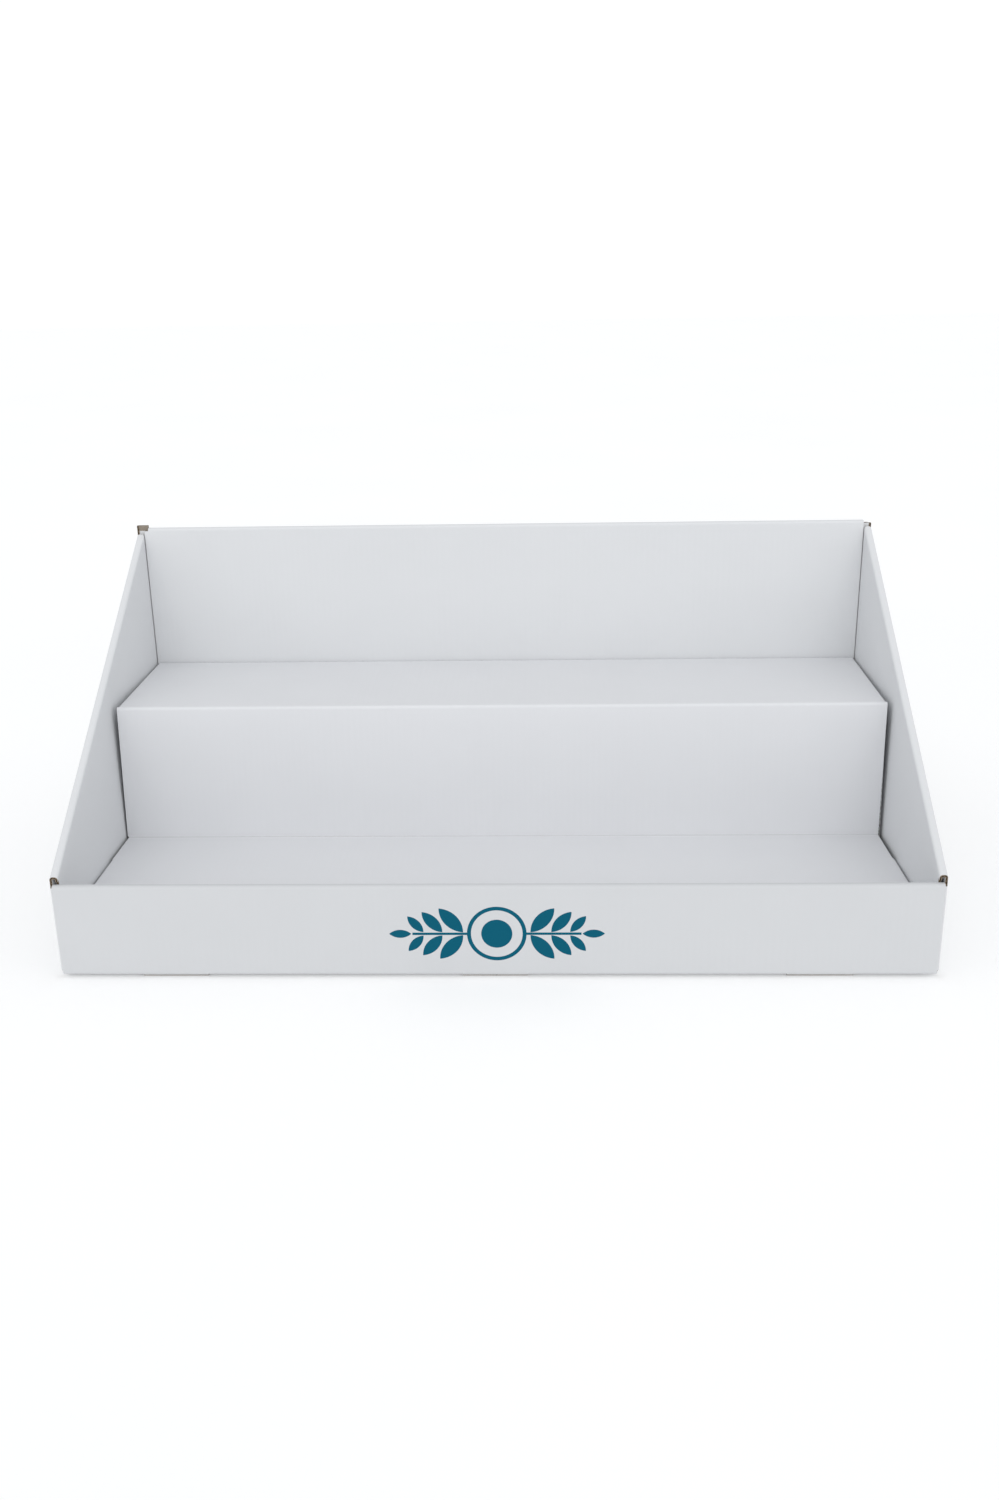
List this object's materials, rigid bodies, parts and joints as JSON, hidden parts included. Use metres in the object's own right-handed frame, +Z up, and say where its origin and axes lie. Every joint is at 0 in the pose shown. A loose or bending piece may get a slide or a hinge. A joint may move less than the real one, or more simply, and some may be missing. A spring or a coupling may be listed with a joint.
{
  "type": "counter display box",
  "caption": "White card counter display tray with double rolled walls, a low front, slanted sides, a tall back and a loose folded step that makes a raised floor and a higher rear shelf.",
  "frame": {"origin": "on the counter, under the middle of the tray", "axes": "+Z up, +X to the right and +Y to the back, as the front wall is faced"},
  "size_m": [0.4, 0.19, 0.176],
  "materials": {
    "tray_card": "matte",
    "step_card": "matte"
  },
  "bodies": {
    "root": {"tray": "tray_card", "step_insert": "step_card"}
  },
  "joints": []
}
